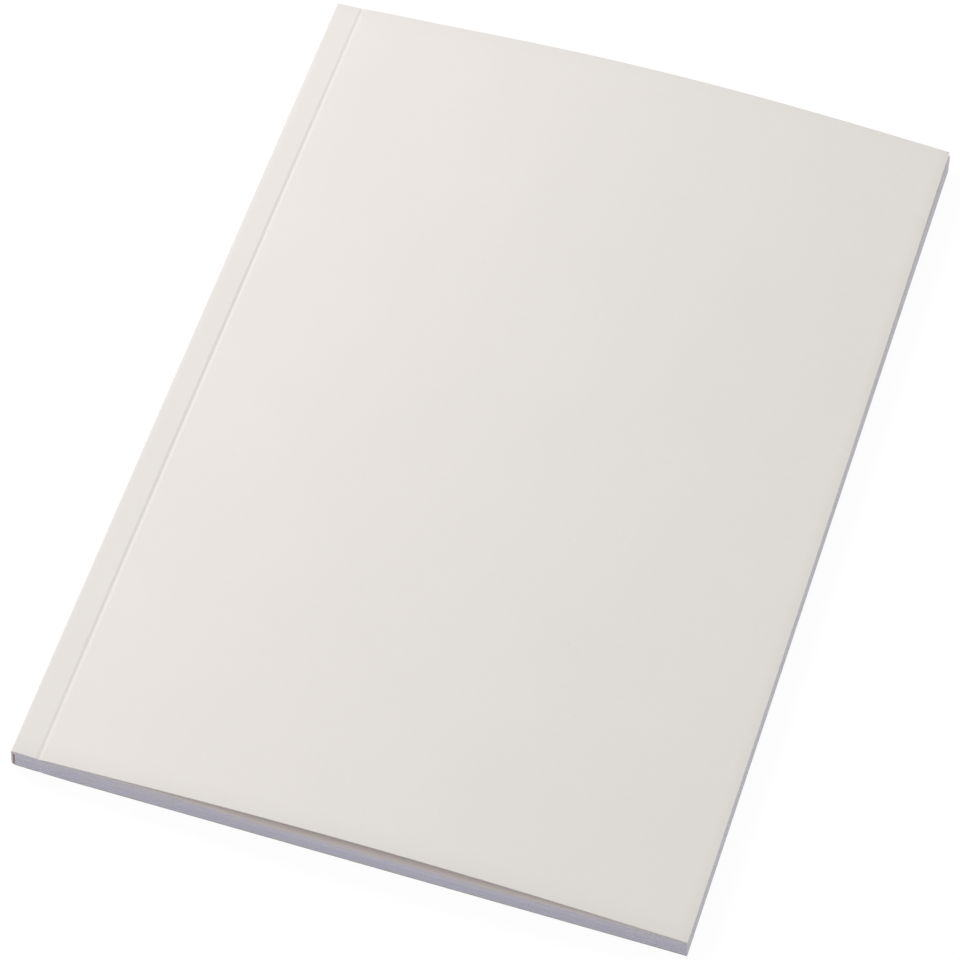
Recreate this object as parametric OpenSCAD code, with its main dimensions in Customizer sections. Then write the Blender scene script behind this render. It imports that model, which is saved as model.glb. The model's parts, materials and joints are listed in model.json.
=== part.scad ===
// A softcover notebook, lying closed on its back cover.
// One card wraps the page block from front to back. It is glued at the spine and along a
// narrow strip on each side, and each cover panel folds along the score at the strip's edge.
// Origin: middle of the footprint, on the surface that the book lies on.
// +X runs from the spine to the fore edge, +Y from the foot to the head, +Z up.

/* [Book] */
// Width of the front cover, from the spine to the fore edge
book_w = 148; // [125:1:230]
// Height of a page, from the foot to the head
book_len = 210; // [120:1:320]
// Height of the back cover's score above the surface that the back cover lies on
spine_lift = 0.25; // [0.1:0.05:0.8]

/* [Page block] */
// Thickness of the page block at the spine, where it is glued
block_t = 5.2; // [3:0.1:15]
// Rise of the upper sheets just past the glued strip
swell_h = 0.5; // [0.1:0.05:0.7]
// Distance of the top of that rise from the spine
swell_x = 20; // [15:1:28]
// How far the upper sheets settle below the glued height in the middle of the page
settle_drop = 0.85; // [0.1:0.05:1.5]
// Distance from the spine at which the sheets have settled
settle_x = 65; // [45:1:68]
// How far the fore edge of the upper sheets stays below the glued height
fore_drop = 0.15; // [0.05:0.05:0.6]
// Width of the stretch beside the fore edge over which the upper sheets rise again
fore_curl_w = 53; // [30:1:55]

/* [Cover] */
// Thickness of the cover card
card_t = 0.35; // [0.2:0.05:0.6]
// Width of the glued strip, from the spine to the score
strip_w = 6; // [4:0.5:10]
// Width of the groove that is pressed along the score
score_w = 1.4; // [0.8:0.1:2.5]
// Depth of that groove
score_depth = 0.12; // [0.05:0.01:0.18]
// Rise of the front cover's bow over its straight chord, at the foot
bow_foot = 2.65; // [1.5:0.05:6]
// Rise of the bow at the head
bow_head = 4; // [1.5:0.05:8]
// Rise of the front cover's fore corner at the head
corner_lift = 0.8; // [0.1:0.05:3]
// Length of the fore edge, down from the head, that lifts with that corner
corner_lift_len = 110; // [60:5:115]
// Width over which the back cover comes down from the score to the surface
lift_run = 7; // [5:0.5:20]

/* [Spine] */
// How much higher the glued strips stand at the spine than at their scores
spine_rise = 0.3; // [0.05:0.05:0.6]
// How far the lower part of the spine stands out past its upper edge
spine_lean = 0.4; // [0.05:0.05:1]
// Radius inside the fold between the front strip and the spine
front_fold_r = 0.1; // [0.05:0.05:0.8]
// Radius inside the fold between the spine and the back strip
back_fold_r = 0.45; // [0.1:0.05:0.8]
// Thickness of the glue between the card and the backs of the pages
glue_t = 0.4; // [0.2:0.05:0.6]
// How far the glue stops short of the fold beside the front strip
glue_short = 0.9; // [0.3:0.1:1.2]

/* [Clearances] */
// Space between the pages and each cover panel
leaf_gap = 0.1; // [0.05:0.05:0.2]
// Width of the slit between the glued strip and each cover panel
hinge_gap = 0.3; // [0.2:0.05:0.5]

/* [Hidden] */

card_color = [0.90, 0.89, 0.87];
paper_color = [0.93, 0.92, 0.94];
glue_color = [0.55, 0.42, 0.34];

fold_steps = 6;
panel_steps_x = 30;
level_steps_y = 6;
lift_steps_y = 10;
curve_steps = 12;

// Heights at the glued strip, from the bottom up
block_z0 = spine_lift + card_t;
block_z1 = block_z0 + block_t;
strip_top = block_z1 + card_t;
// The flat of the spine runs between its two folds
flat_z0 = spine_lift + card_t + back_fold_r;
flat_z1 = strip_top - card_t - front_fold_r;

// Where the pieces begin and end across the book, and where its fore edge starts to lift
slit_x0 = strip_w - hinge_gap / 2;
slit_x1 = strip_w + hinge_gap / 2;
groove_x0 = strip_w - score_w / 2;
groove_x1 = strip_w + score_w / 2;
flat_x = strip_w + lift_run;
curl_x = book_w - fore_curl_w;
lift_y = book_len - corner_lift_len;

// Heights of the pages and of the front cover's fore edge past the strip
hinge_side_z = block_z1 - leaf_gap;
swell_z = hinge_side_z + swell_h;
settled_z = block_z1 - settle_drop;
fore_z = block_z1 - fore_drop;
cover_fore_z = fore_z + leaf_gap + card_t;

function mix(a, b, t) = a + (b - a) * t;
// Smooth step from 0 to 1 as x goes from x0 to x1
function ease(x, x0, x1) = (1 - cos(180 * min(1, max(0, (x - x0) / (x1 - x0))))) / 2;
// The book is drawn with the spine's upper edge at x = 0 and the foot at y = 0
module centred() translate([(spine_lean - book_w) / 2, -book_len / 2, 0]) children();

// Depth of the pressed groove at x: full at the score, none at the groove's sides
function groove(x) = score_depth * max(0, 1 - abs(x - strip_w) / (score_w / 2));

// Rise of the front cover's fore edge above the pages towards the head
function fore_rise(y) = corner_lift * ease(y, lift_y, book_len);
// Outer face of the front cover before the groove is pressed: a chord with a bow over it
function front_bow(x, y) =
    let(u = (x - strip_w) / (book_w - strip_w), bow = mix(bow_foot, bow_head, y / book_len))
    mix(strip_top, cover_fore_z + fore_rise(y), u) + bow * sin(180 * u);
function front_top(x, y) = front_bow(x, y) - groove(x);
function front_under(x, y) = front_bow(x, y) - card_t;

// Faces of the back cover: level, and rising to the score beside the spine
function back_under(x) = spine_lift * (1 - ease(x, strip_w, flat_x));
function back_top(x) = back_under(x) + card_t;

// Upper face of the page block past the strip. The sheets never rise above the cover.
function sheets_top(x) =
    x < swell_x ? mix(hinge_side_z, swell_z, ease(x, strip_w, swell_x))
    : x < curl_x ? mix(swell_z, settled_z, ease(x, swell_x, settle_x))
    : mix(settled_z, fore_z, ease(x, curl_x, book_w));
function cover_low(x) = min(front_under(x, 0), front_under(x, book_len));
function pages_top(x) = min(sheets_top(x), cover_low(x) - leaf_gap);
function pages_under(x) = back_top(x) + leaf_gap;

// Evenly spaced values from x0 to x1, with both ends
function span(x0, x1, steps) = [for (i = [0:steps]) mix(x0, x1, i / steps)];

// Sections at the spine are drawn level and square, and then seated: towards the spine they
// rise off the surface, and the lower part of the spine leans out.
function seated(points) = [for (p = points)
    let(nearness = max(0, 1 - p[0] / strip_w), depth = min(1, max(0, (flat_z1 - p[1]) / (flat_z1 - flat_z0))))
    [p[0] - spine_lean * nearness * depth, p[1] + spine_rise * nearness]];
// Folds of the card, from the inside (inset of card_t) or the outside (inset of 0)
function fold(r_inside, inset, z, angles) = [for (a = angles)
    let(r = r_inside + card_t - inset)
    [card_t + r_inside + r * cos(a), z + r * sin(a)]];
function front_fold(inset) = fold(front_fold_r, inset, flat_z1, span(90, 180, fold_steps));
function back_fold(inset) = fold(back_fold_r, inset, flat_z0, span(180, 270, fold_steps));
function reversed(list) = [for (i = [len(list) - 1:-1:0]) list[i]];
function without_first(list) = [for (i = [1:len(list) - 1]) list[i]];

// A section in x and z, run along the whole book from the foot to the head
module along_book(section) {
    translate([0, book_len, 0])
        rotate([90, 0, 0])
            linear_extrude(height = book_len)
                polygon(section);
}

// A thin panel between two faces that are given as functions of x and y
module curved_panel(xs, ys, top, under) {
    nx = len(xs);
    ny = len(ys);
    layer = nx * ny;
    points = concat(
        [for (y = ys) for (x = xs) [x, y, top(x, y)]],
        [for (y = ys) for (x = xs) [x, y, under(x, y)]]
    );
    // Each square of the grid is cut into two triangles
    upper = [for (j = [0:ny - 2]) for (i = [0:nx - 2])
        let(a = j * nx + i, b = a + 1, c = a + nx, d = c + 1)
        each [[a, c, b], [b, c, d]]];
    lower = [for (f = upper) [for (k = [2:-1:0]) f[k] + layer]];
    rim = concat(
        [for (i = [0:nx - 1]) i],
        [for (j = [1:ny - 1]) j * nx + nx - 1],
        [for (i = [nx - 2:-1:0]) (ny - 1) * nx + i],
        [for (j = [ny - 2:-1:1]) j * nx]
    );
    wall = [for (k = [0:len(rim) - 1])
        let(a = rim[k], b = rim[(k + 1) % len(rim)])
        each [[a, b, a + layer], [b, b + layer, a + layer]]];
    polyhedron(points = points, faces = concat(upper, lower, wall), convexity = 4);
}

// Front panel of the cover card, bowed up off the pages
module front_cover() {
    xs = concat([slit_x1], span(groove_x1, book_w, panel_steps_x));
    ys = concat(span(0, lift_y, level_steps_y), without_first(span(lift_y, book_len, lift_steps_y)));
    color(card_color)
        centred()
            curved_panel(xs, ys, function(x, y) front_top(x, y), function(x, y) front_under(x, y));
}

// Back panel of the cover card, flat on the surface
module back_cover() {
    xs = concat([slit_x1], span(groove_x1, flat_x, curve_steps), [book_w]);
    color(card_color)
        centred()
            along_book(concat(
                [for (x = xs) [x, back_under(x) + groove(x)]],
                [for (x = reversed(xs)) [x, back_top(x)]]
            ));
}

// Spine of the cover card with its two glued strips
module spine_wrap() {
    color(card_color)
        centred()
            along_book(seated(concat(
                [[slit_x0, block_z1], [slit_x0, strip_top - groove(slit_x0)], [groove_x0, strip_top]],
                front_fold(0),
                back_fold(0),
                [[groove_x0, spine_lift], [slit_x0, spine_lift + groove(slit_x0)], [slit_x0, block_z0]],
                reversed(concat(front_fold(card_t), back_fold(card_t)))
            )));
}

// Glue between the flat of the spine and the backs of the pages
glue_x = card_t + glue_t;
glue_z1 = flat_z1 - glue_short;
module spine_glue() {
    color(glue_color)
        centred()
            along_book(seated([[card_t, flat_z0], [glue_x, flat_z0], [glue_x, glue_z1], [card_t, glue_z1]]));
}

// The page block, glued and trimmed: one solid
module page_block() {
    top_xs = concat(
        span(slit_x0, swell_x, curve_steps),
        without_first(span(swell_x, settle_x, curve_steps)),
        span(curl_x, book_w, curve_steps)
    );
    under_xs = concat(span(slit_x0, flat_x, curve_steps), [book_w]);
    color(paper_color)
        centred()
            along_book(seated(concat(
                [for (x = reversed(top_xs)) [x, pages_top(x)]],
                [[slit_x0, block_z1]],
                front_fold(card_t),
                [[card_t, glue_z1], [glue_x, glue_z1], [glue_x, flat_z0]],
                back_fold(card_t),
                [[slit_x0, block_z0]],
                [for (x = under_xs) [x, pages_under(x)]]
            )));
}

front_cover();
back_cover();
spine_wrap();
spine_glue();
page_block();
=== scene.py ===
import json
import math
import random

import bmesh
import bpy
from bpy.props import FloatProperty, FloatVectorProperty, IntProperty, PointerProperty
from bpy.types import Operator, Panel, PropertyGroup
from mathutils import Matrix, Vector


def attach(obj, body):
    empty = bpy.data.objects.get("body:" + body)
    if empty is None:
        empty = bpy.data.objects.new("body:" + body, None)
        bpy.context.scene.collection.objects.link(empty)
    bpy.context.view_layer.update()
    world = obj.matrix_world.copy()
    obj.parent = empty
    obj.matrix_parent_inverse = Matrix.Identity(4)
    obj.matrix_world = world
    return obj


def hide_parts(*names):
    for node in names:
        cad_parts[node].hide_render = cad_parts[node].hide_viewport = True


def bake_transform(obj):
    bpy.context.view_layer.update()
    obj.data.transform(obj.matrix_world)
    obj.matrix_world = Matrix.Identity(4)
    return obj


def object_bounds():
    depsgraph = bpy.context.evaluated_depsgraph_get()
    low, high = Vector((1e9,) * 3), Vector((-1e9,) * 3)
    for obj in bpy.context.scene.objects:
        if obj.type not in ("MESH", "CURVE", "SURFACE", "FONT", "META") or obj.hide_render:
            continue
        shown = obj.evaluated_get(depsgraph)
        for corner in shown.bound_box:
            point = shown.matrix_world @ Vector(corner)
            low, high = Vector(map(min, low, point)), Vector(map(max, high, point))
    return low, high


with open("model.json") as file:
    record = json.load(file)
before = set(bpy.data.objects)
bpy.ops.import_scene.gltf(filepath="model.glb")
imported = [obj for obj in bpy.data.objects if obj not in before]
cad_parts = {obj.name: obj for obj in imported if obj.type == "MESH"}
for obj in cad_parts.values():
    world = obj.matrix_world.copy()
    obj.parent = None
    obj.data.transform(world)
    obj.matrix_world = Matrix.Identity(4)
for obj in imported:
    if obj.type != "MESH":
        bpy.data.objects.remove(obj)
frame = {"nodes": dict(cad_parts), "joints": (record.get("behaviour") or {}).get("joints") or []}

bl_info = {
    "name": "Softcover Notebook",
    "version": (1, 0, 0),
    "blender": (4, 5, 0),
    "location": "View3D > Sidebar > Notebook",
    "description": "Dresses the packed notebook: folded cover card, loose-edged sheets, binding glue and studio",
    "category": "Object",
}

MM = 0.001
LOW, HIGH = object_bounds()
LOW, HIGH = Vector(LOW), Vector(HIGH)
HINGES = {joint["name"]: Vector(joint["pos_m"]) for joint in frame["joints"]}
# Turn between two faces, in radians, above which the edge between them is shaded as a crisp one
CRISP = math.radians(24)
# Turn above which an edge of the card is a cut one, and is rounded
CUT = math.radians(60)
# Half the width of the finely divided stretch at a score
SCORE_REACH = 1 * MM
# How far a sheet stays clear of the glue or the card behind it
SHEET_CLEARANCE = 0.01 * MM
# Heights between which the painted contact shade on the card's lower cut edge fades out
SHADE_FULL_UP_TO, UNSHADED_FROM = 0.5 * MM, 2 * MM
# How far the floor lies below the notebook, and how far it reaches to each side
FLOOR_DROP, FLOOR_REACH = 0.02 * MM, 3.0


def ease(x, start, end):
    """Smooth step from 0 to 1 as x goes from start to end."""
    t = min(1, max(0, (x - start) / (end - start)))
    return (1 - math.cos(math.pi * t)) / 2


def mix(a, b, t):
    return a + (b - a) * t


def spread(start, end, steps):
    """Evenly spaced values after start, up to and with end."""
    return [mix(start, end, (i + 1) / steps) for i in range(steps)]


def length(name, description, default, low, high):
    return FloatProperty(
        name=name, description=description, default=default, min=low, max=high, unit="LENGTH", precision=5
    )


def color(name, description, default):
    return FloatVectorProperty(
        name=name, description=description, default=default, size=3, min=0, max=1, subtype="COLOR"
    )


def power(name, description, default):
    return FloatProperty(name=name, description=description, default=default, min=0, unit="POWER", precision=3)


def place(name, description, default):
    return FloatVectorProperty(
        name=name, description=description, default=default, size=3, subtype="TRANSLATION", unit="LENGTH"
    )


class NotebookCover(PropertyGroup):
    """Sizes and colours of the cover card."""

    card: length("Card thickness", "Thickness of the cover card", 0.35 * MM, 0.2 * MM, 0.6 * MM)
    groove_width: length("Score width", "Width of the pressed score", 1.5 * MM, 0.6 * MM, 3 * MM)
    groove_depth: length("Score depth", "Depth of the pressed score halfway along it", 0.23 * MM, 0, 0.3 * MM)
    groove_fade: FloatProperty(
        name="Score fade",
        description="Share of that depth that is lost at the score's ends",
        default=0.35,
        min=0,
        max=1,
    )
    score_bend: length("Score bend", "How far the front score's ends stray from the spine", 0.22 * MM, 0, 1 * MM)
    head_swell: length("Head swell", "Rise of the front score at the head", 0.5 * MM, 0, 1 * MM)
    head_swell_end: length(
        "Head swell end", "Distance from the spine at which that rise ends", 34 * MM, 15 * MM, 60 * MM
    )
    bow_foot: length("Bow at foot", "Rise of the front cover's bow at the foot", 2.65 * MM, 0, 8 * MM)
    bow_head: length("Bow at head", "Rise of the front cover's bow at the head", 3.99 * MM, 0, 8 * MM)
    corner_lift: length("Corner lift", "Rise of the fore corner at the head", 0.8 * MM, 0, 3 * MM)
    corner_lift_length: length(
        "Corner lift length", "Length of the fore edge that lifts with the corner", 110 * MM, 50 * MM, 200 * MM
    )
    lift_run: length(
        "Back run", "Width over which the back cover comes down beside the score", 7 * MM, 3 * MM, 20 * MM
    )
    head_pull: length("Head pull", "How far the bow draws in the fore edge at the head", 0.25 * MM, 0, 1 * MM)
    edge_round: length("Edge rounding", "Rounding along the cut edges of the card", 0.04 * MM, 0.01 * MM, 0.1 * MM)
    outer_color: color("Outside", "Colour of the card's outer face", (0.782, 0.755, 0.713))
    inner_color: color("Inside", "Colour of the card's inner face", (0.800, 0.733, 0.708))
    cut_color: color("Cut edge", "Colour of the card's cut edge", (0.900, 0.890, 0.902))
    # Painted shade: the darker grey that the card's cut edge takes near the floor, where shade falls at the contact
    contact_shade_color: color(
        "Contact shade", "Colour of the cut edge that the notebook lies on", (0.520, 0.512, 0.540)
    )
    speck_color: color("Specks", "Colour of the odd fibre speck in the card", (0.42, 0.40, 0.38))


class NotebookPages(PropertyGroup):
    """Sizes and colours of the sheets."""

    sheet_count: IntProperty(
        name="Sheets", description="Number of sheets in the block", default=48, min=8, max=200
    )
    sheet: length("Sheet thickness", "Thickness of one sheet", 0.092 * MM, 0.04 * MM, 0.3 * MM)
    swell: length("Swell", "Rise of the upper sheets just past the glued strip", 0.5 * MM, 0, 1 * MM)
    swell_place: length("Swell place", "Distance of that rise from the spine", 20 * MM, 12 * MM, 30 * MM)
    settle: length("Settle", "How far the sheets settle in the middle of the page", 0.85 * MM, 0, 1.5 * MM)
    settle_place: length(
        "Settle place", "Distance from the spine at which they have settled", 65 * MM, 45 * MM, 68 * MM
    )
    fore_drop: length("Fore drop", "How far the fore edge stays below the glued height", 0.15 * MM, 0, 0.6 * MM)
    fore_curl: length(
        "Fore curl", "Width over which the sheets rise again to the fore edge", 53 * MM, 30 * MM, 55 * MM
    )
    leaf_gap: length("Leaf gap", "Space between the pages and each cover panel", 0.1 * MM, 0.02 * MM, 0.3 * MM)
    trim: length("Trim scatter", "How unevenly the sheets' cut edges line up", 0.045 * MM, 0, 0.2 * MM)
    # Partly painted light: the pages' own warm white, warmed further to stand in for the light bounced between the
    # card and the top page
    face_color_and_warm_bounce: color("Page", "Colour of a page's face", (0.860, 0.775, 0.745))
    # Painted light: a lighter band of the page face along its cut edges, where light gets in under the cover
    rim_color: color(
        "Page rim", "Colour of a page's face at its cut edges, where light enters it", (0.960, 0.915, 0.900)
    )
    lit_rim_width: length("Page rim width", "Width of that lighter rim", 2.2 * MM, 0.2 * MM, 5 * MM)
    # Partly painted shade: the sheets' cut edges are a cool white, and their strong blue tint stands in for the
    # cool light on the block's shaded sides
    edge_color_and_cool_shade: color("Page edges", "Colour of the cut edges of the sheets", (0.720, 0.715, 0.865))
    seed: IntProperty(name="Seed", description="Start of the random scatter of the sheets", default=7, min=0)


class NotebookBinding(PropertyGroup):
    """Sizes and colours at the spine."""

    rise: length("Strip rise", "How much higher the glued strips stand at the spine", 0.3 * MM, 0, 0.6 * MM)
    lean: length("Spine lean", "How far the lower part of the spine stands out", 0.4 * MM, 0, 1 * MM)
    front_fold: length("Front fold", "Radius inside the fold at the front strip", 0.1 * MM, 0.05 * MM, 0.8 * MM)
    back_fold: length("Back fold", "Radius inside the fold at the back strip", 0.45 * MM, 0.1 * MM, 0.8 * MM)
    glue: length("Glue thickness", "Thickness of the glue between card and pages", 0.4 * MM, 0.2 * MM, 0.6 * MM)
    glue_short: length("Glue short", "How far the glue stops short of the front fold", 0.9 * MM, 0.3 * MM, 1.2 * MM)
    glue_color: color("Glue", "Colour of the binding glue", (0.30, 0.20, 0.155))


class NotebookStudio(PropertyGroup):
    """Floor, light and camera."""

    floor_color: color("Floor", "Colour of the floor that the notebook is lit from", (0.30, 0.30, 0.30))
    floor_glow: FloatProperty(
        name="Floor white",
        description="Share of the floor's look that is plain white",
        default=0.60,
        min=0,
        max=1,
    )
    floor_white: FloatProperty(
        name="Floor white level", description="Strength of that plain white", default=1.51, min=0, max=2
    )
    sky_color: color("Sky", "Colour of the even light from all round", (1.0, 1.0, 1.0))
    sky_level: FloatProperty(
        name="Sky level", description="Strength of the even light", default=0.625, min=0, max=1
    )
    key_place: place("Key place", "Where the main lamp hangs, behind the spine's head", (-0.40, 0.25, 0.50))
    key_size: length("Key size", "Width of the main lamp", 0.30, 0.02, 2)
    key_power: power("Key power", "Power of the main lamp", 1.23)
    key_color: color("Key colour", "Colour of the main lamp", (0.985, 0.966, 1.0))
    front_place: place("Front place", "Where the lamp in front of the spine's foot hangs", (-0.45, -0.40, 0.55))
    front_size: length("Front size", "Width of the front lamp", 0.30, 0.02, 2)
    front_power: power("Front power", "Power of the front lamp", 0.80)
    front_color: color("Front colour", "Colour of the front lamp", (1.0, 0.957, 0.957))
    side_place: place("Side place", "Where the low lamp beside the spine stands", (-0.58, 0.16, 0.34))
    side_size: length("Side size", "Width of the low lamp", 0.16, 0.02, 2)
    side_power: power("Side power", "Power of the low lamp", 0.61)
    side_color: color("Side colour", "Colour of the low lamp", (0.95, 0.89, 1.0))
    fill_place: place("Fill place", "Where the low lamp beyond the fore edge stands", (0.95, 0.10, 0.20))
    fill_size: length("Fill size", "Width of the fill lamp", 0.50, 0.02, 2)
    fill_power: power("Fill power", "Power of the fill lamp", 1.58)
    fill_color: color("Fill colour", "Colour of the fill lamp", (0.93, 1.0, 0.88))
    camera_place: place("Camera place", "Where the camera stands", (0.1709, -0.4956, 0.8044))
    camera_turn: FloatVectorProperty(
        name="Camera turn",
        description="Turn of the camera",
        size=3,
        default=(0.57186, 0.0166, 0.31492),
        subtype="EULER",
    )
    camera_lens: FloatProperty(
        name="Lens", description="Focal length of the lens", default=163.55, min=10, unit="CAMERA"
    )


class NotebookShape:
    """Sections of the closed notebook, in metres. x runs from the spine's upper edge, y from the foot and z up."""

    def __init__(self, scene):
        self.cover = scene.notebook_cover
        self.pages = scene.notebook_pages
        self.binding = scene.notebook_binding
        self.left = LOW.x + self.binding.lean
        self.width = HIGH.x - self.left
        self.length = HIGH.y - LOW.y
        self.score = HINGES["front_hinge"].x - self.left
        self.strip_under, self.strip_top = HINGES["back_hinge"].z, HINGES["front_hinge"].z
        self.block_under = self.strip_under + self.cover.card
        self.block_top = self.strip_top - self.cover.card
        self.fore_top = self.block_top - self.pages.fore_drop + self.pages.leaf_gap + self.cover.card
        # The flat of the spine runs between its two folds, and the glue along the lower part of it
        self.flat_low = self.block_under + self.binding.back_fold
        self.flat_high = self.block_top - self.binding.front_fold
        self.glue_top = self.flat_high - self.binding.glue_short

    def put(self, x, y, z):
        """The point in the part's own frame. Towards the spine everything rises, and its lower part leans out."""
        nearness = max(0, 1 - x / self.score)
        depth = min(1, max(0, (self.flat_high - z) / (self.flat_high - self.flat_low)))
        x -= self.binding.lean * nearness * depth
        return Vector((self.left + x, LOW.y + y, z + self.binding.rise * nearness))

    def front_score(self, y):
        """Distance of the front score from the spine. Its line is faintly bent."""
        return self.score + self.cover.score_bend * (2 * y / self.length - 1) ** 2

    def groove(self, x, y, score):
        """Depth of the pressed score, full at its middle and fading to each side and towards its ends."""
        along = 1 - self.cover.groove_fade * (2 * y / self.length - 1) ** 2
        return self.cover.groove_depth * along * (1 - ease(abs(x - score), 0, self.cover.groove_width / 2))

    def head_swell(self, x, y):
        """Rise of the strip, the cover and the pages beside the front score, towards the head."""
        share = x / self.score if x < self.score else 1 - ease(x, self.score, self.cover.head_swell_end)
        return self.cover.head_swell * share * (y / self.length) ** 2

    def front_chord(self, x, y):
        """Outer face of the front cover without its score."""
        score = self.front_score(y)
        if x <= score:
            return self.strip_top + self.head_swell(x, y)
        across = (x - score) / (self.width - score)
        bow = mix(self.cover.bow_foot, self.cover.bow_head, y / self.length)
        lift = self.cover.corner_lift * ease(y, self.length - self.cover.corner_lift_length, self.length)
        chord = mix(self.strip_top, self.fore_top + lift, across)
        return chord + bow * math.sin(math.pi * across) + self.head_swell(x, y)

    def back_chord(self, x):
        """Outer face of the back cover without its score."""
        return self.strip_under * (1 - ease(x, self.score, self.score + self.cover.lift_run))

    def fold_end(self, side):
        """Distance from the spine at which the fold beside a strip ends."""
        return self.cover.card + (self.binding.front_fold if side > 0 else self.binding.back_fold)

    def card_point(self, side, run, y, inset):
        """A point of the card, side 1 for its front half and -1 for its back half. run goes from -2 at the
        middle of the spine's flat to -1 at the fold and 0 at the fold's end, and is a distance from there on.
        inset is 0 on the outer face and the card's thickness on the inner one."""
        end, flat_end = self.fold_end(side), self.flat_high if side > 0 else self.flat_low
        if run < -1:
            return self.put(inset, y, mix(flat_end, (self.flat_low + self.flat_high) / 2, -1 - run))
        if run < 0:
            angle, radius = (1 + run) * math.pi / 2, end - inset
            return self.put(end - radius * math.cos(angle), y, flat_end + side * radius * math.sin(angle))
        x = end + run
        if side < 0:
            return self.put(x, y, self.back_chord(x) + (inset if inset else self.groove(x, y, self.score)))
        level = self.front_chord(x, y) - (inset if inset else self.groove(x, y, self.front_score(y)))
        pull = self.cover.head_pull * ease(x, self.score, self.width) * (y / self.length) ** 3
        return self.put(x - pull, y, level)

    def page_start(self, z):
        """Distance from the spine at which a page begins, at its drawn height z beside the spine."""
        card = self.cover.card
        if z > self.flat_high:
            radius = self.binding.front_fold
            return card + radius - math.sqrt(max(0, radius**2 - (z - self.flat_high) ** 2))
        if z < self.flat_low:
            radius = self.binding.back_fold
            return card + radius - math.sqrt(max(0, radius**2 - (self.flat_low - z) ** 2))
        return card + self.binding.glue if z < self.glue_top else card

    def block_upper(self, x, y):
        """Upper face of the stack of sheets: glued up to the score, swollen past it, settled, and curling up
        towards the fore edge, never above the front cover."""
        pages = self.pages
        beside = self.block_top - pages.leaf_gap
        swollen = beside + pages.swell
        settled = self.block_top - pages.settle
        fore = self.block_top - pages.fore_drop
        curl = self.width - pages.fore_curl
        if x < pages.swell_place:
            free = mix(beside, swollen, ease(x, self.score, pages.swell_place))
        elif x < curl:
            free = mix(swollen, settled, ease(x, pages.swell_place, pages.settle_place))
        else:
            free = mix(settled, fore, ease(x, curl, self.width))
        under_cover = min(self.front_chord(x, end) for end in (0, self.length)) - self.cover.card
        free = min(free, under_cover - pages.leaf_gap)
        freed = ease(x, self.score - SCORE_REACH, self.score)
        return mix(self.block_top, free, freed) + self.head_swell(x, y)

    def block_lower(self, x):
        """Lower face of the stack of sheets, over the back cover."""
        free = self.back_chord(x) + self.cover.card + self.pages.leaf_gap
        return mix(self.block_under, free, ease(x, self.score - SCORE_REACH, self.score))


def add_slab(mesh, columns, rows, point):
    """Adds a closed slab to the mesh: a grid that is extruded to its far side, with each vertex put at
    point(column, row, far). Its faces have material 0 on the near side, 1 on the far side and 2 round the rim.
    Gives the column, the row and the side of each vertex."""

    def cell(vertex):
        return round((vertex.co.x + 0.5) * (columns - 1)), round((vertex.co.y + 0.5) * (rows - 1))

    near = bmesh.ops.create_grid(mesh, x_segments=columns - 1, y_segments=rows - 1, size=0.5)["verts"]
    near_faces = list({face for vertex in near for face in vertex.link_faces})
    made = bmesh.ops.extrude_face_region(mesh, geom=near_faces)["geom"]
    far = [item for item in made if isinstance(item, bmesh.types.BMVert)]
    far_set = set(far)
    far_faces = {item for item in made if isinstance(item, bmesh.types.BMFace)}
    rim_faces = {face for vertex in near for face in vertex.link_faces}.difference(near_faces)
    cells = {vertex: (*cell(vertex), vertex in far_set) for vertex in near + far}
    for vertex, (column, row, is_far) in cells.items():
        vertex.co = point(column, row, is_far)
    for faces, finish in ((near_faces, 0), (far_faces, 1), (rim_faces, 2)):
        for face in faces:
            face.material_index = finish
    bmesh.ops.recalc_face_normals(mesh, faces=near_faces + list(far_faces) + list(rim_faces))
    return cells


def new_piece(mesh, name, finishes):
    """Turns the bmesh into an object of that name, in place of an older one, smooth between its crisp edges."""
    for face in mesh.faces:
        face.smooth = True
    for edge in mesh.edges:
        edge.smooth = edge.calc_face_angle(0) < CRISP
    if name in bpy.data.objects:
        bpy.data.objects.remove(bpy.data.objects[name])
    data = bpy.data.meshes.new(name)
    mesh.to_mesh(data)
    mesh.free()
    for finish in finishes:
        data.materials.append(finish)
    piece = bpy.data.objects.new(name, data)
    bpy.context.scene.collection.objects.link(piece)
    return piece


class Wire:
    """The output of a node, on which +, - and * add Math nodes."""

    def __init__(self, finish, socket):
        self.finish, self.socket = finish, socket

    def maths(self, operation, first, second):
        return self.finish.node("ShaderNodeMath", {"operation": operation}, {0: first, 1: second})

    def __add__(self, other):
        return self.maths("ADD", self, other)

    __radd__ = __add__

    def __sub__(self, other):
        return self.maths("SUBTRACT", self, other)

    def __rsub__(self, other):
        return self.maths("SUBTRACT", other, self)

    def __mul__(self, other):
        return self.maths("MULTIPLY", self, other)

    __rmul__ = __mul__

    def largest(self, other):
        return self.maths("MAXIMUM", self, other)

    def smallest(self, other):
        return self.maths("MINIMUM", self, other)


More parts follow.
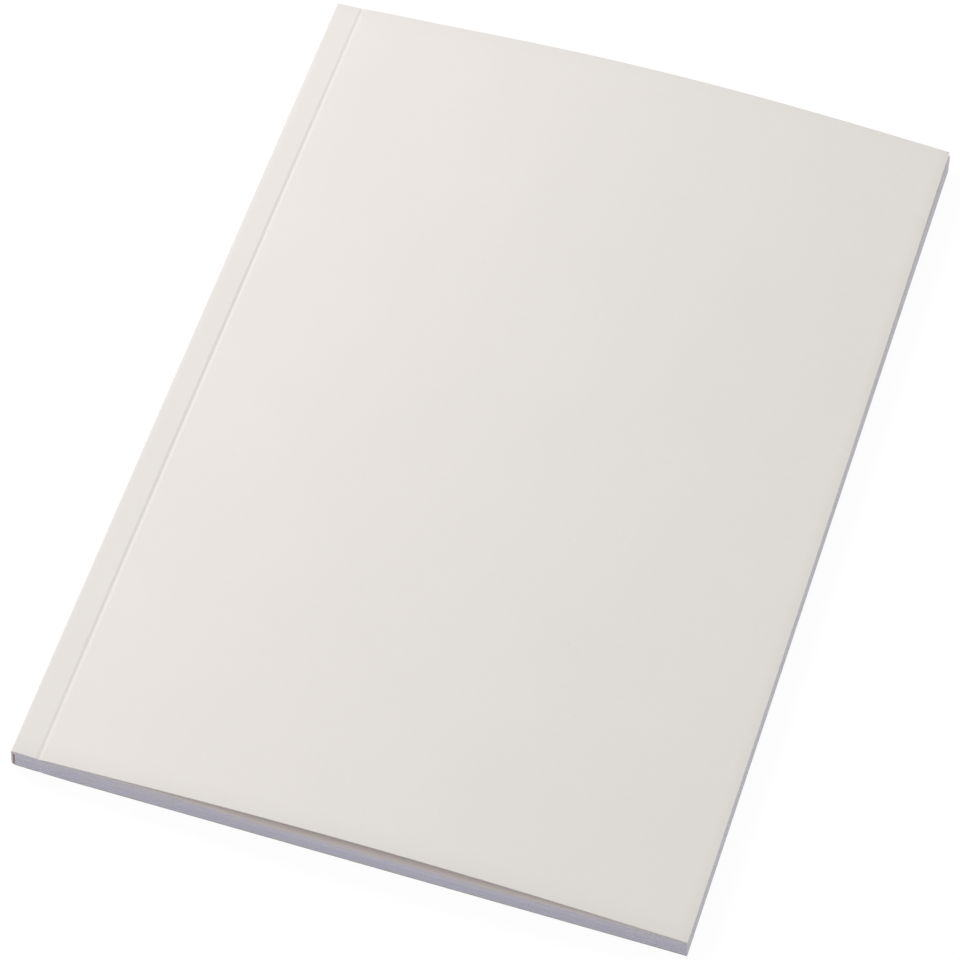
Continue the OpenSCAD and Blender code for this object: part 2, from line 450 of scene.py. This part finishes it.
class Finish:
    """A material or world that is built from nodes."""

    def __init__(self, owner, output="ShaderNodeOutputMaterial"):
        owner.use_nodes = True
        self.owner, self.tree = owner, owner.node_tree
        self.tree.nodes.clear()
        self.output = self.tree.nodes.new(output)

    def node(self, kind, settings=None, inputs=None, output=0):
        """Adds a node: its settings first, then a value or a wire for each input named. Gives one output."""
        made = self.tree.nodes.new(kind)
        for name, value in (settings or {}).items():
            setattr(made, name, value)
        for name, value in (inputs or {}).items():
            if isinstance(value, Wire):
                self.tree.links.new(value.socket, made.inputs[name])
            else:
                made.inputs[name].default_value = value
        return Wire(self, made.outputs[output])

    def coordinates(self):
        return self.node("ShaderNodeTexCoord", output="Object")

    def along(self, axis):
        """The object coordinate along x, y or z, which are 0, 1 and 2."""
        return self.node("ShaderNodeSeparateXYZ", inputs={0: self.coordinates()}, output=axis)

    def nearest_cut(self):
        """Distance to the nearest of the three trimmed sides of the block."""
        x, y = self.along(0), self.along(1)
        return (y - LOW.y).smallest(HIGH.y - y).smallest(HIGH.x - x)

    def stretched(self, scale):
        """Object coordinates scaled by a different amount along each axis."""
        return self.node("ShaderNodeMapping", inputs={"Vector": self.coordinates(), "Scale": scale})

    def noise(self, vector, grain, detail=3.0, roughness=0.5):
        """Noise from 0 to 1 whose grains are about that many metres across."""
        inputs = {"Vector": vector, "Scale": 1 / grain, "Detail": detail, "Roughness": roughness}
        return self.node("ShaderNodeTexNoise", inputs=inputs)

    def ramp(self, value, start, end, low=0.0, high=1.0):
        """Smooth step from low to high as the value goes from start to end."""
        inputs = {0: value, 1: start, 2: end, 3: low, 4: high}
        return self.node("ShaderNodeMapRange", {"interpolation_type": "SMOOTHSTEP"}, inputs)

    def blend(self, factor, first, second):
        """Colour between two colours."""
        inputs = {0: factor, 6: opaque(first), 7: opaque(second)}
        return self.node("ShaderNodeMix", {"data_type": "RGBA"}, inputs, output=2)

    def bump(self, height, depth):
        """Normal of a relief of that many metres from height 0 to height 1."""
        return self.node("ShaderNodeBump", inputs={"Height": height, "Distance": depth, "Strength": 1.0})

    def surface(self, inputs):
        """Joins the main shader to the material's output."""
        shader = self.node("ShaderNodeBsdfPrincipled", inputs=inputs)
        self.finish_with(shader)

    def finish_with(self, shader):
        self.tree.links.new(shader.socket, self.output.inputs["Surface"])
        self.arrange()

    def arrange(self):
        """Lays the nodes out in columns, each left of the nodes that it feeds."""
        column = {self.output.name: 0}
        waiting = [self.output]
        while waiting:
            target = waiting.pop(0)
            for link in self.tree.links:
                if link.to_node == target:
                    step = column[target.name] + 1
                    if column.get(link.from_node.name, -1) < step:
                        column[link.from_node.name] = step
                        waiting.append(link.from_node)
        filled = {}
        for shown in self.tree.nodes:
            at = column.get(shown.name, 0)
            shown.location = (-260 * at, -300 * filled.get(at, 0))
            filled[at] = filled.get(at, 0) + 1


def opaque(value):
    """A plain colour with full alpha. A wire is passed on as it is."""
    return value if isinstance(value, Wire) else (*value, 1.0)


def shade(value, amount):
    """The colour made lighter or darker by a factor."""
    return tuple(min(1.0, channel * amount) for channel in value)


def material(name):
    """The material of that name, which pieces that are already made go on using."""
    return bpy.data.materials.get(name) or bpy.data.materials.new(name)


def card_outside(cover):
    """Smooth matte card: faint clouding, fine fibres that lie along the spine, and the odd dark speck."""
    made = Finish(material("card_outside"))
    here = made.coordinates()
    cloud = made.noise(here, 24 * MM, detail=2.0)
    flock = made.noise(here, 1.6 * MM, detail=4.0, roughness=0.6)
    fibre = made.noise(made.stretched((1.0, 0.3, 1.0)), 0.22 * MM, detail=3.0, roughness=0.65)
    tone = 0.5 + (cloud - 0.5) * 0.45 + (flock - 0.5) * 0.42 + (fibre - 0.5) * 0.3
    body = made.blend(tone, shade(cover.outer_color, 0.965), shade(cover.outer_color, 1.035))
    speck_gap = made.node("ShaderNodeTexVoronoi", inputs={"Vector": here, "Scale": 1 / (5.2 * MM)})
    speck = made.ramp(speck_gap, start=0.014, end=0.034, low=0.30, high=0.0)
    dotted = made.blend(speck, body, cover.speck_color)
    height = fibre * 0.6 + flock * 0.4
    made.surface({
        "Base Color": dotted,
        "Roughness": 0.56 + (flock - 0.5) * 0.16,
        "Specular IOR Level": 0.35,
        "Normal": made.bump(height, 0.004 * MM),
    })
    return made.owner


def card_inside(cover):
    """Inner face of the card: the same board, a little rougher."""
    made = Finish(material("card_inside"))
    here = made.coordinates()
    cloud = made.noise(here, 9 * MM, detail=3.0)
    fibre = made.noise(made.stretched((1.0, 0.3, 1.0)), 0.3 * MM, detail=4.0, roughness=0.7)
    tone = 0.5 + (cloud - 0.5) * 0.6 + (fibre - 0.5) * 0.5
    made.surface({
        "Base Color": made.blend(tone, shade(cover.inner_color, 0.95), shade(cover.inner_color, 1.04)),
        "Roughness": 0.68 + (fibre - 0.5) * 0.2,
        "Specular IOR Level": 0.3,
        "Normal": made.bump(fibre + cloud * 0.5, 0.006 * MM),
    })
    return made.owner


def card_cut(cover):
    """Cut edge of the card: pressed layers of fibre, with painted shade that turns it a darker grey low down, where
    the notebook lies on the floor.
    """
    made = Finish(material("card_cut"))
    layers = made.noise(made.stretched((0.08, 0.08, 1.0)), 0.05 * MM, detail=3.0, roughness=0.7)
    fibre = made.noise(made.coordinates(), 0.12 * MM, detail=3.0, roughness=0.6)
    tone = 0.5 + (layers - 0.5) * 0.8 + (fibre - 0.5) * 0.4
    unshaded = made.blend(tone, shade(cover.cut_color, 0.92), shade(cover.cut_color, 1.06))
    # Painted shade: the cut edge turns to the darker grey towards the floor
    contact_shade = made.ramp(made.along(2), start=SHADE_FULL_UP_TO, end=UNSHADED_FROM, low=1.0, high=0.0)
    made.surface({
        "Base Color": made.blend(contact_shade, unshaded, cover.contact_shade_color),
        "Roughness": 0.78 + (fibre - 0.5) * 0.15,
        "Specular IOR Level": 0.25,
        "Normal": made.bump(layers * 0.6 + fibre * 0.4, 0.02 * MM),
    })
    return made.owner


def page_face(pages):
    """Uncoated writing paper: clouded pulp, short fibres and a matte surface, with painted light in a band along
    its cut edges.
    """
    made = Finish(material("page_face"))
    here = made.coordinates()
    pulp = made.noise(here, 3.5 * MM, detail=4.0, roughness=0.6)
    fibre = made.noise(made.stretched((1.0, 0.4, 1.0)), 0.18 * MM, detail=4.0, roughness=0.7)
    tone = 0.5 + (pulp - 0.5) * 0.6 + (fibre - 0.5) * 0.5
    # The page colour holds painted warm bounce light on top of the paper's own white
    body = made.blend(tone, shade(pages.face_color_and_warm_bounce, 0.955), shade(pages.face_color_and_warm_bounce, 1.035))
    # Painted light: the face turns to the lighter rim colour towards the cut edges
    rim = made.ramp(made.nearest_cut(), start=0.0, end=pages.lit_rim_width, low=1.0, high=0.0)
    made.surface({
        "Base Color": made.blend(rim, body, pages.rim_color),
        "Roughness": 0.82 + (fibre - 0.5) * 0.15,
        "Specular IOR Level": 0.25,
        "Normal": made.bump(fibre * 0.7 + pulp * 0.3, 0.006 * MM),
    })
    return made.owner


def page_edge(pages):
    """Trimmed edges of the sheets: each a little lighter or darker, with fine drag marks of the blade, in a colour
    that carries painted cool shade.
    """
    made = Finish(material("page_edge"))
    sheets = made.noise(made.stretched((0.015, 0.015, 1.0)), 0.09 * MM, detail=2.0, roughness=0.6)
    drag = made.noise(made.stretched((1.0, 1.0, 0.2)), 0.35 * MM, detail=3.0, roughness=0.6)
    broad = made.noise(made.coordinates(), 14 * MM, detail=2.0)
    tone = 0.5 + (sheets - 0.5) * 0.7 + (drag - 0.5) * 0.25 + (broad - 0.5) * 0.3
    made.surface({
        # The edge colour holds painted cool shade on top of the paper's own white
        "Base Color": made.blend(tone, shade(pages.edge_color_and_cool_shade, 0.90), shade(pages.edge_color_and_cool_shade, 1.08)),
        "Roughness": 0.8 + (drag - 0.5) * 0.2,
        "Specular IOR Level": 0.25,
        "Normal": made.bump(sheets * 0.7 + drag * 0.3, 0.012 * MM),
    })
    return made.owner


def binding_glue(binding):
    """Brown binding glue, cut through with the block: dull, clouded and a little pitted."""
    made = Finish(material("binding_glue"))
    here = made.coordinates()
    cloud = made.noise(here, 0.9 * MM, detail=4.0, roughness=0.6)
    pits = made.noise(here, 0.16 * MM, detail=3.0, roughness=0.6)
    tone = 0.5 + (cloud - 0.5) * 1.1 + (pits - 0.5) * 0.5
    made.surface({
        "Base Color": made.blend(tone, shade(binding.glue_color, 0.72), shade(binding.glue_color, 1.3)),
        "Roughness": 0.48 + (cloud - 0.5) * 0.3,
        "Specular IOR Level": 0.45,
        "Normal": made.bump(pits * 0.6 + cloud * 0.4, 0.05 * MM),
    })
    return made.owner


def folded_card(scene, name, side):
    """One half of the cover card, from the middle of the spine round its corner, over the glued strip and the
    score, to the fore edge. The bowed front half has more divisions than the flat back one."""
    shape = NotebookShape(scene)
    cover = shape.cover
    strip = shape.score - shape.fold_end(side)
    panel_steps, height_steps = (56, 42) if side > 0 else (24, 8)
    runs = [-2.0] + spread(-2.0, -1.0, 3) + spread(-1.0, 0.0, 10) + spread(0.0, strip - SCORE_REACH, 5)
    runs += spread(strip - SCORE_REACH, strip + SCORE_REACH, 24)
    runs += spread(strip + SCORE_REACH, shape.width - shape.fold_end(side), panel_steps)
    heights = [0.0] + spread(0.0, shape.length, height_steps)

    mesh = bmesh.new()
    cells = add_slab(
        mesh,
        len(runs),
        len(heights),
        lambda column, row, far: shape.card_point(side, runs[column], heights[row], cover.card if far else 0.0),
    )
    # The two halves meet without an edge at the middle of the spine
    joined = {vertex for vertex, cell in cells.items() if cell[0] == 0}
    cut_edges = [
        edge
        for edge in mesh.edges
        if edge.calc_face_angle(0) > CUT and not joined.intersection(edge.verts)
    ]
    bmesh.ops.bevel(
        mesh,
        geom=cut_edges,
        offset=cover.edge_round,
        offset_type="OFFSET",
        affect="EDGES",
        segments=2,
        profile=0.5,
        material=-1,
        clamp_overlap=True,
    )
    return new_piece(mesh, name, [card_outside(cover), card_inside(cover), card_cut(cover)])


class NOTEBOOK_OT_front_card(Operator):
    """Makes the front half of the cover card, with its pressed score"""

    bl_idname = "notebook.front_card"
    bl_label = "Front cover card"

    def execute(self, context):
        piece = folded_card(context.scene, "front_card", 1)
        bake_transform(piece)
        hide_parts("front_cover", "spine_wrap")
        return {"FINISHED"}


class NOTEBOOK_OT_back_card(Operator):
    """Makes the back half of the cover card, which the closed notebook lies on"""

    bl_idname = "notebook.back_card"
    bl_label = "Back cover card"

    def execute(self, context):
        piece = folded_card(context.scene, "back_card", -1)
        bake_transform(piece)
        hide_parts("back_cover", "spine_wrap")
        return {"FINISHED"}


class NOTEBOOK_OT_sheets(Operator):
    """Makes the block of single sheets"""

    bl_idname = "notebook.sheets"
    bl_label = "Sheets"

    def execute(self, context):
        shape = NotebookShape(context.scene)
        pages = shape.pages
        chance = random.Random(pages.seed)
        count = pages.sheet_count
        # The spare height between the sheets is shared out unevenly, with more of it among the upper ones
        parts = [(0.4 + chance.random()) * (1 + 1.6 * ease(k / count, 0.45, 1)) for k in range(count)]
        below = [sum(parts[:k]) / sum(parts[:-1]) for k in range(count)]
        mesh = bmesh.new()
        for k in range(count):
            foot, head, fore = (chance.random() * pages.trim for _ in range(3))

            def lowest(x, y):
                lower, upper = shape.block_lower(x), shape.block_upper(x, y)
                return lower + k * pages.sheet + below[k] * (upper - lower - count * pages.sheet)

            near_spine = lowest(shape.cover.card, 0)
            start = max(shape.page_start(near_spine), shape.page_start(near_spine + pages.sheet))
            places = [start + SHEET_CLEARANCE] + spread(2 * MM, shape.score - SCORE_REACH, 2)
            places += spread(shape.score - SCORE_REACH, shape.score + SCORE_REACH, 6)
            places += spread(shape.score + SCORE_REACH, pages.swell_place, 10)
            places += spread(pages.swell_place, pages.settle_place, 12)
            places += spread(pages.settle_place, shape.width - fore, 16)
            heights = [foot] + spread(foot, shape.length - head, 4)

            def corner(column, row, far):
                x, y = places[column], heights[row]
                return shape.put(x, y, lowest(x, y) + (pages.sheet if far else 0))

            add_slab(mesh, len(places), len(heights), corner)
        for face in mesh.faces:
            face.material_index = 1 if face.material_index == 2 else 0
        piece = new_piece(mesh, "sheets", [page_face(pages), page_edge(pages)])
        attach(piece, "block")
        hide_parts("page_block")
        return {"FINISHED"}


class NOTEBOOK_OT_glue(Operator):
    """Gives the line of binding glue its finish"""

    bl_idname = "notebook.glue"
    bl_label = "Binding glue"

    def execute(self, context):
        node = frame["nodes"]["spine_glue"]
        finish = binding_glue(context.scene.notebook_binding)
        if not node.material_slots:
            raise RuntimeError("the spine_glue node has no material slot")
        for slot in node.material_slots:
            slot.material = finish
        return {"FINISHED"}


def add_lamp(scene, role):
    """A square lamp that faces the notebook, from the studio's values for that role."""
    studio, name = scene.notebook_studio, f"{role}_lamp"
    if name in bpy.data.objects:
        bpy.data.objects.remove(bpy.data.objects[name])
    data = bpy.data.lights.new(name, "AREA")
    data.shape = "SQUARE"
    data.size = getattr(studio, f"{role}_size")
    data.energy = getattr(studio, f"{role}_power")
    data.color = getattr(studio, f"{role}_color")
    lamp = bpy.data.objects.new(name, data)
    lamp.location = getattr(studio, f"{role}_place")
    lamp.rotation_euler = (-lamp.location).to_track_quat("-Z", "Y").to_euler()
    lamp.visible_camera = False
    scene.collection.objects.link(lamp)


def white_to_camera(made):
    """1 for the rays that look at the background, straight or in a gloss, and 0 for those that light the part."""
    camera, glossy, transmission = (
        made.node("ShaderNodeLightPath", output=f"Is {kind} Ray") for kind in ("Camera", "Glossy", "Transmission")
    )
    return camera.largest(glossy).largest(transmission)


class NOTEBOOK_OT_studio(Operator):
    """Lays the floor, hangs the lamps and places the camera"""

    bl_idname = "notebook.studio"
    bl_label = "Studio"

    def execute(self, context):
        scene = context.scene
        studio = scene.notebook_studio

        mesh = bmesh.new()
        bmesh.ops.create_grid(mesh, x_segments=2, y_segments=2, size=FLOOR_REACH)
        bmesh.ops.translate(mesh, verts=mesh.verts[:], vec=(0, 0, LOW.z - FLOOR_DROP))
        made = Finish(material("studio_floor"))
        matte = made.node("ShaderNodeBsdfDiffuse", inputs={"Color": opaque(studio.floor_color)})
        glow = made.node("ShaderNodeEmission", inputs={"Color": (1, 1, 1, 1), "Strength": studio.floor_white})
        share = white_to_camera(made) * studio.floor_glow
        made.finish_with(made.node("ShaderNodeMixShader", inputs={0: share, 1: matte, 2: glow}))
        new_piece(mesh, "studio_floor", [made.owner])

        scene.world = scene.world or bpy.data.worlds.new("studio_world")
        sky = Finish(scene.world, "ShaderNodeOutputWorld")
        even = sky.node("ShaderNodeBackground", inputs={0: opaque(studio.sky_color), 1: studio.sky_level})
        white = sky.node("ShaderNodeBackground", inputs={0: (1, 1, 1, 1), 1: 1.0})
        sky.finish_with(sky.node("ShaderNodeMixShader", inputs={0: white_to_camera(sky), 1: even, 2: white}))

        for role in ("key", "front", "side", "fill"):
            add_lamp(scene, role)

        if "camera" in bpy.data.objects:
            bpy.data.objects.remove(bpy.data.objects["camera"])
        data = bpy.data.cameras.new("camera")
        data.lens = studio.camera_lens
        data.sensor_width = 36
        data.clip_start = 0.01
        camera = bpy.data.objects.new("camera", data)
        camera.location = studio.camera_place
        camera.rotation_euler = studio.camera_turn
        scene.collection.objects.link(camera)
        scene.camera = camera
        scene.view_settings.view_transform = "Standard"
        return {"FINISHED"}


class NOTEBOOK_PT_sidebar(Panel):
    """Lists the notebook's sizes and colours, with a button for each piece"""

    bl_label = "Softcover Notebook"
    bl_space_type = "VIEW_3D"
    bl_region_type = "UI"
    bl_category = "Notebook"

    def draw(self, context):
        groups = (
            (context.scene.notebook_cover, (NOTEBOOK_OT_front_card, NOTEBOOK_OT_back_card)),
            (context.scene.notebook_pages, (NOTEBOOK_OT_sheets,)),
            (context.scene.notebook_binding, (NOTEBOOK_OT_glue,)),
            (context.scene.notebook_studio, (NOTEBOOK_OT_studio,)),
        )
        for group, makers in groups:
            box = self.layout.box()
            for name in group.__annotations__:
                box.prop(group, name)
            for maker in makers:
                box.operator(maker.bl_idname)


GROUPS = {
    "notebook_cover": NotebookCover,
    "notebook_pages": NotebookPages,
    "notebook_binding": NotebookBinding,
    "notebook_studio": NotebookStudio,
}
CLASSES = (
    *GROUPS.values(),
    NOTEBOOK_OT_front_card,
    NOTEBOOK_OT_back_card,
    NOTEBOOK_OT_sheets,
    NOTEBOOK_OT_glue,
    NOTEBOOK_OT_studio,
    NOTEBOOK_PT_sidebar,
)


def register():
    for item in CLASSES:
        bpy.utils.register_class(item)
    for name, group in GROUPS.items():
        setattr(bpy.types.Scene, name, PointerProperty(type=group))


def unregister():
    for name in GROUPS:
        delattr(bpy.types.Scene, name)
    for item in reversed(CLASSES):
        bpy.utils.unregister_class(item)


def main():
    register()
    bpy.ops.notebook.front_card()
    bpy.ops.notebook.back_card()
    bpy.ops.notebook.sheets()
    bpy.ops.notebook.glue()
    bpy.ops.notebook.studio()


if __name__ == "__main__":
    main()
